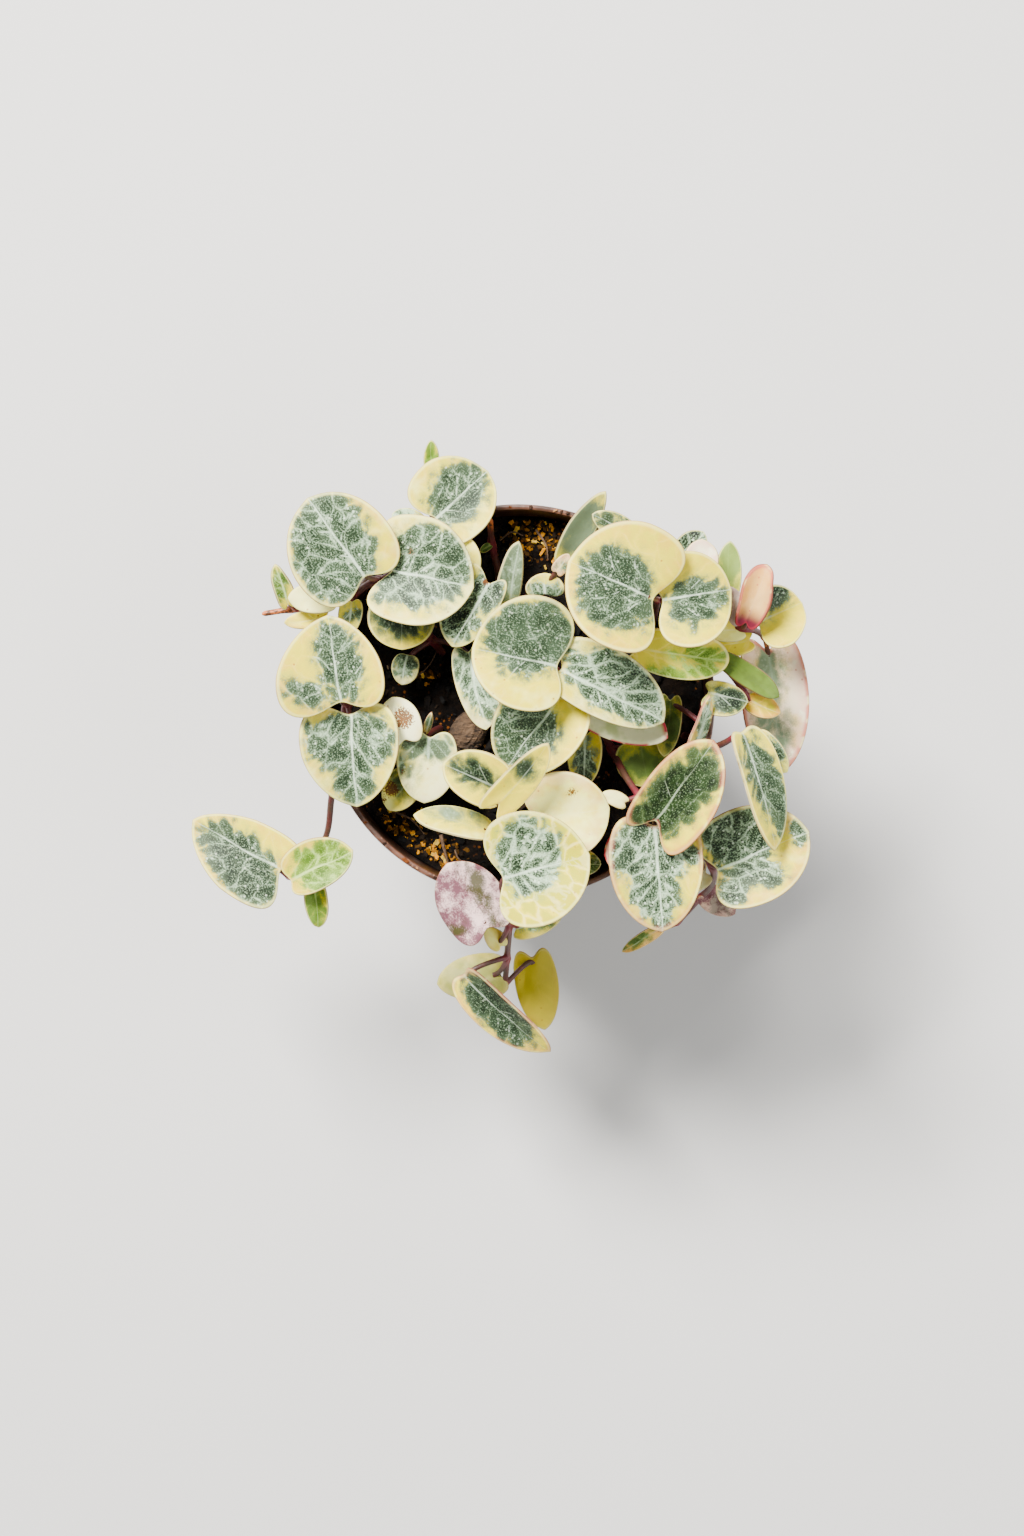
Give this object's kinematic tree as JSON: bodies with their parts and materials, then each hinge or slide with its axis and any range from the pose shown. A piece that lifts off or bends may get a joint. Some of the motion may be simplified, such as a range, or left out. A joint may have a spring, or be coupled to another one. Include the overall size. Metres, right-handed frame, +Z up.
{
  "type": "potted string of hearts",
  "caption": "Young variegated string of hearts in a small stepped nursery pot, its heart-shaped leaves crowded over the soil and its stems trailing past the rim.",
  "frame": {"origin": "centre of the pot's foot, on the surface it stands on", "axes": "+Z up along the pot's axis; +Y to the back, the top edge of the picture; +X to its right"},
  "size_m": [0.0941, 0.0949, 0.0799],
  "materials": {
    "pot_plastic": "thin brown thermoformed plastic, dusty, with a soft sheen on the rim",
    "potting_soil": "dark crumbly potting mix with golden-brown bark chips and pale grit",
    "tuber_skin": "dry grey-brown wrinkled skin",
    "variegated_leaf": "fleshy waxy leaf, green with a silver net, cream to yellow patches and a thin pink margin"
  },
  "bodies": {
    "root": {"pot": "pot_plastic", "soil": "potting_soil", "tuber": "tuber_skin", "bud_shoot": "variegated_leaf", "vine_back": "variegated_leaf", "vine_centre": "variegated_leaf", "vine_crown": "variegated_leaf", "vine_front": "variegated_leaf", "vine_front_right": "variegated_leaf", "vine_front_trail": "variegated_leaf", "vine_inner_left": "variegated_leaf", "vine_inner_top": "variegated_leaf", "vine_left": "variegated_leaf", "vine_long_leaf": "variegated_leaf", "vine_right": "variegated_leaf", "vine_right_inner": "variegated_leaf", "vine_right_low": "variegated_leaf", "vine_right_trail": "variegated_leaf", "vine_spotted": "variegated_leaf", "vine_top": "variegated_leaf", "vine_upper_left": "variegated_leaf"}
  },
  "joints": []
}
